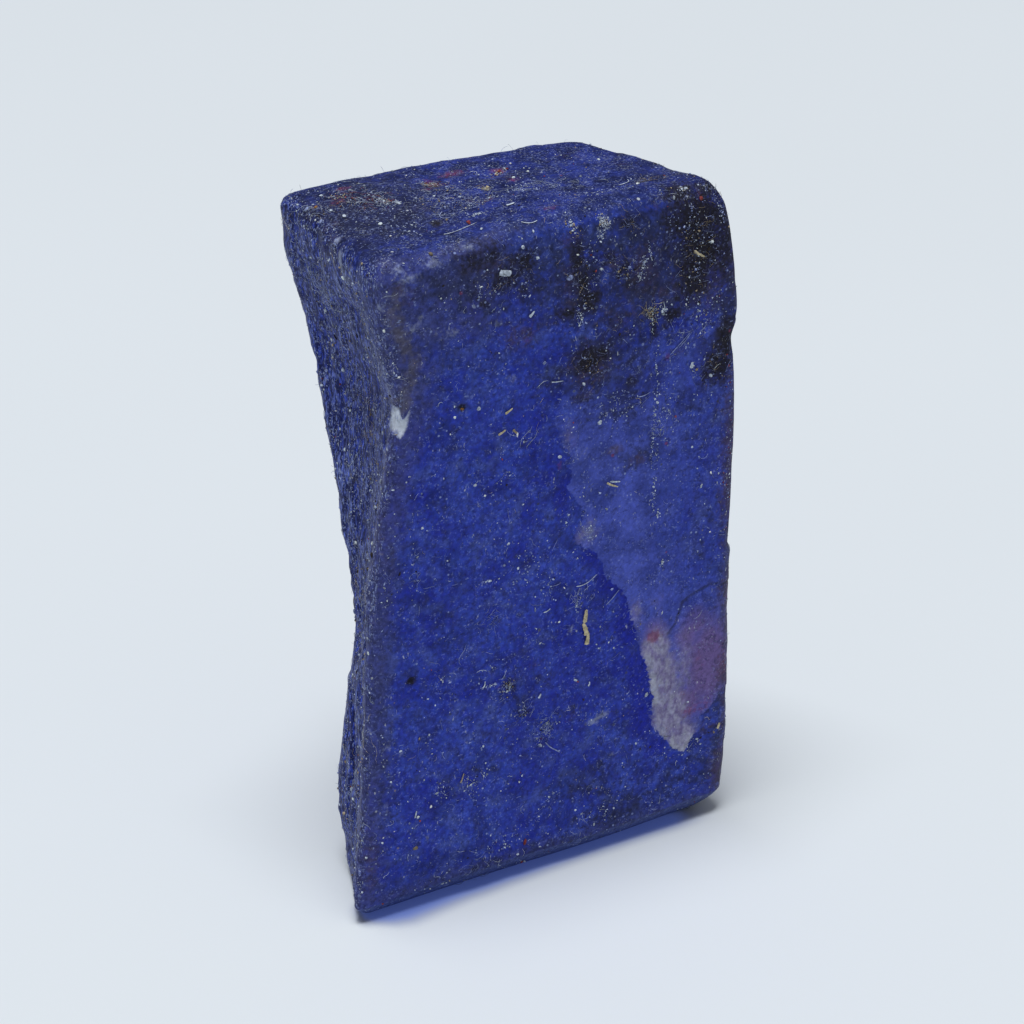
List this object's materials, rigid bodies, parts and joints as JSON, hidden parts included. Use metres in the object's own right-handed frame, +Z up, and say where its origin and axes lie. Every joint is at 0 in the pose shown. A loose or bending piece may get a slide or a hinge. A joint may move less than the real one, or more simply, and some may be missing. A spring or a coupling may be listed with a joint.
{
  "type": "rough tanzanite",
  "caption": "Rough blue-violet tanzanite, a worn four-sided prism standing on a flat broken end, with rounded arrises, a scooped side wall and a pale patch low on its broad face.",
  "frame": {"origin": "centre of the footprint box, on the flat foot that the stone stands on", "axes": "+Z up along the prism; the broad front face looks along -Y and +X runs to its right; the scooped narrow wall is at -X"},
  "size_m": [0.0276, 0.013, 0.0455],
  "materials": {
    "tanzanite": "dull worn deep violet blue with dark stains, a pale translucent patch and clinging dust"
  },
  "bodies": {
    "root": {"tanzanite_stone": "tanzanite"}
  },
  "joints": []
}
